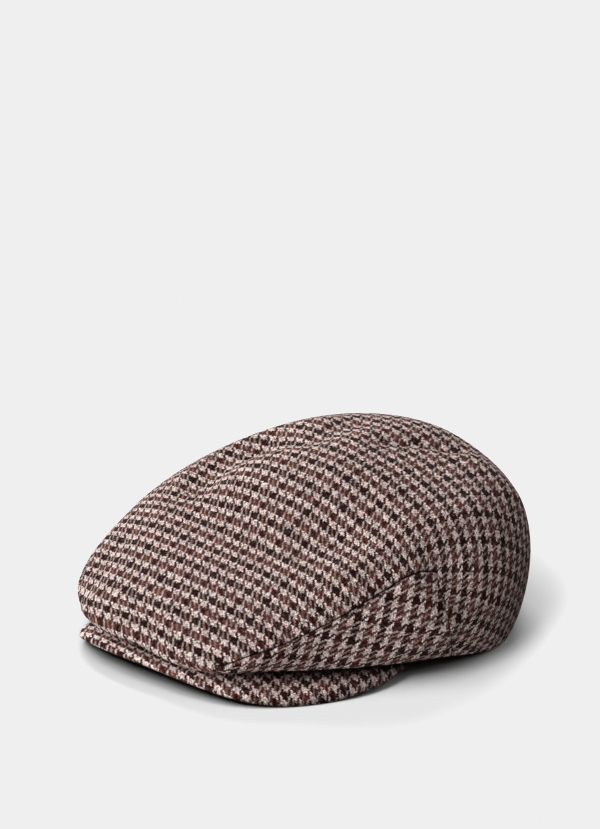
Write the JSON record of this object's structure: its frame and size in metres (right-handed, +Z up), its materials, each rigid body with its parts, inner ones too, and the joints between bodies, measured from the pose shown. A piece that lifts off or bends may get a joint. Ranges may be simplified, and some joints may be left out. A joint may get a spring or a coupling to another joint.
{
  "type": "flat cap",
  "caption": "Soft tweed flat cap in a black, maroon and cream checked twill, with a slouched crown over a stiff peak, two side panels and a turned hem",
  "frame": {"origin": "centre of the cap's box on the table it rests on", "axes": "+Z up from the table to the crown, -Y toward the peak, +X toward the wearer's left"},
  "size_m": [0.2138, 0.224, 0.0812],
  "materials": {
    "tweed": "matte wool twill in a checked weave"
  },
  "bodies": {
    "root": {"crown_top": "tweed", "side_panel_left": "tweed", "side_panel_right": "tweed", "peak": "tweed"}
  },
  "joints": []
}
